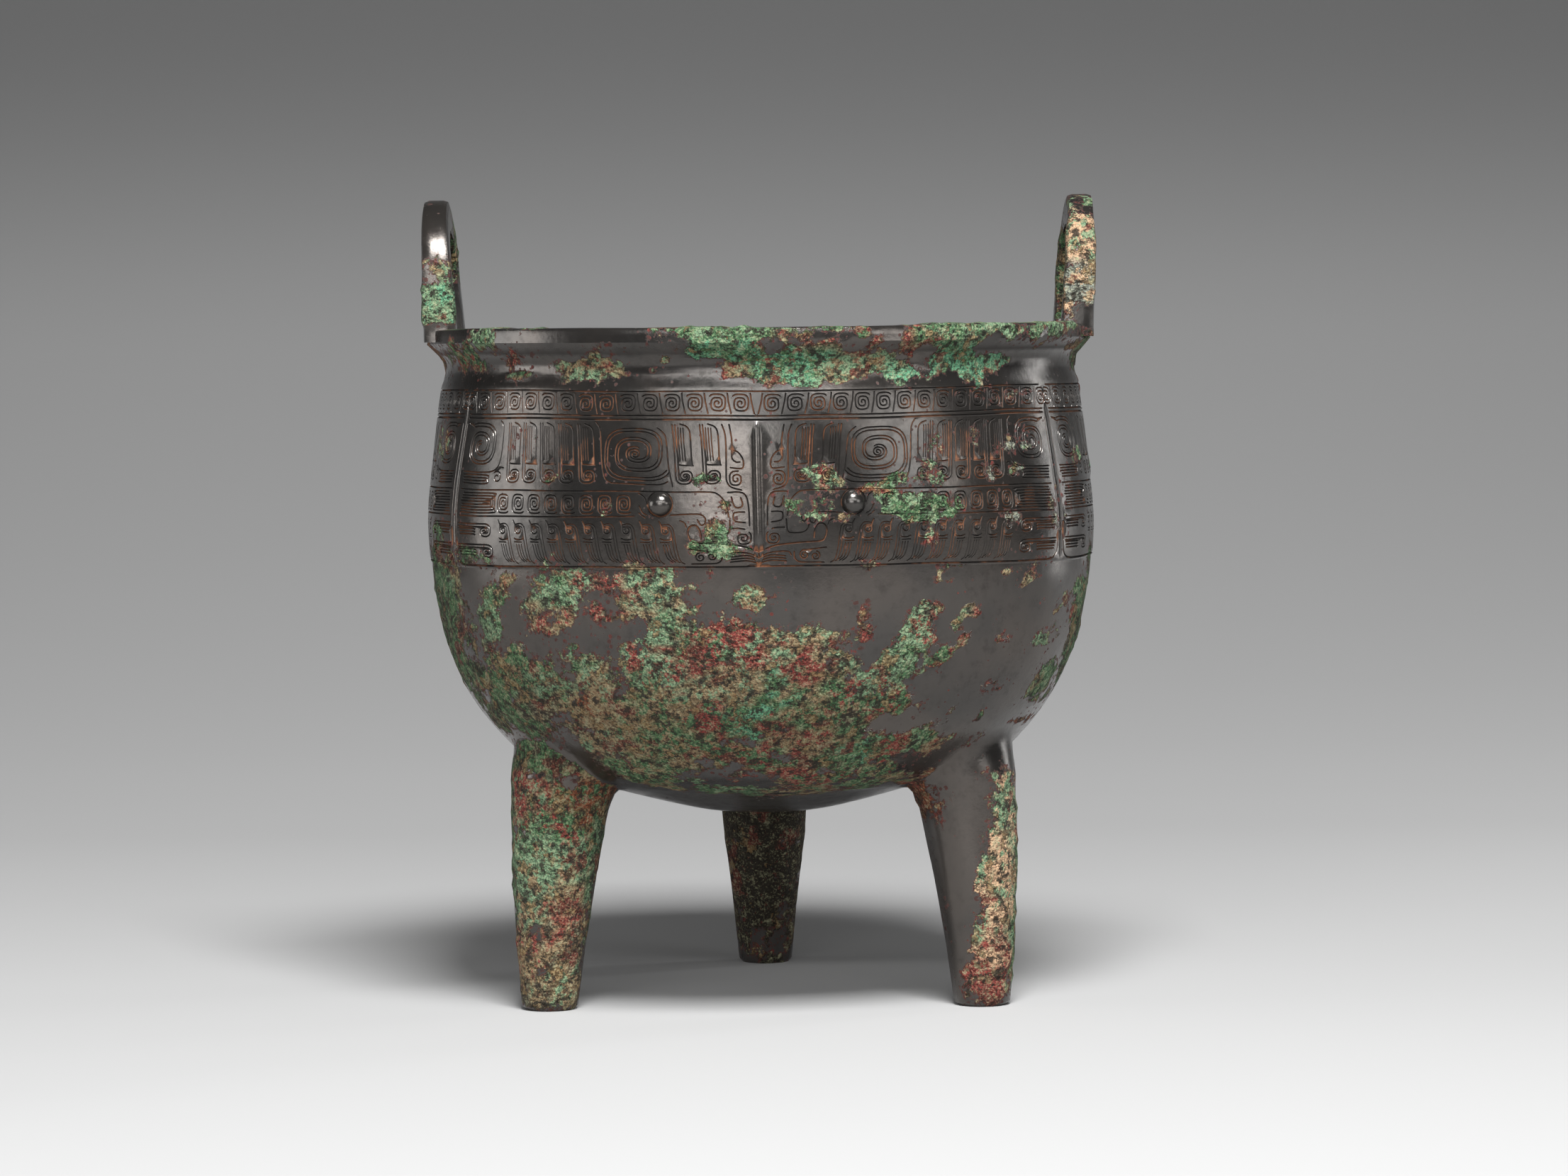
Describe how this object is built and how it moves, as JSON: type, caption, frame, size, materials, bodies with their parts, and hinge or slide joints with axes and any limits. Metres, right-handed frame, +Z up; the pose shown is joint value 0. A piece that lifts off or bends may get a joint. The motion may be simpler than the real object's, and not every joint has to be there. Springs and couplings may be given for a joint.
{
  "type": "bronze ding tripod vessel",
  "caption": "Round-bellied cast bronze tripod vessel with two upright ears on a flat rim and a band of mask relief round the belly.",
  "frame": {"origin": "on the ground under the middle of the vessel's bounding box, 1.7 mm behind the axis of the bowl", "axes": "+Z up, +X towards the right-hand ear, -Y towards the viewer through the middle of the front panel"},
  "size_m": [0.2, 0.2006, 0.2386],
  "materials": {
    "bronze": "dark grey-brown satin bronze patina with green, turquoise, ochre and red corrosion crusts"
  },
  "bodies": {
    "root": {"ding_vessel": "bronze"}
  },
  "joints": []
}
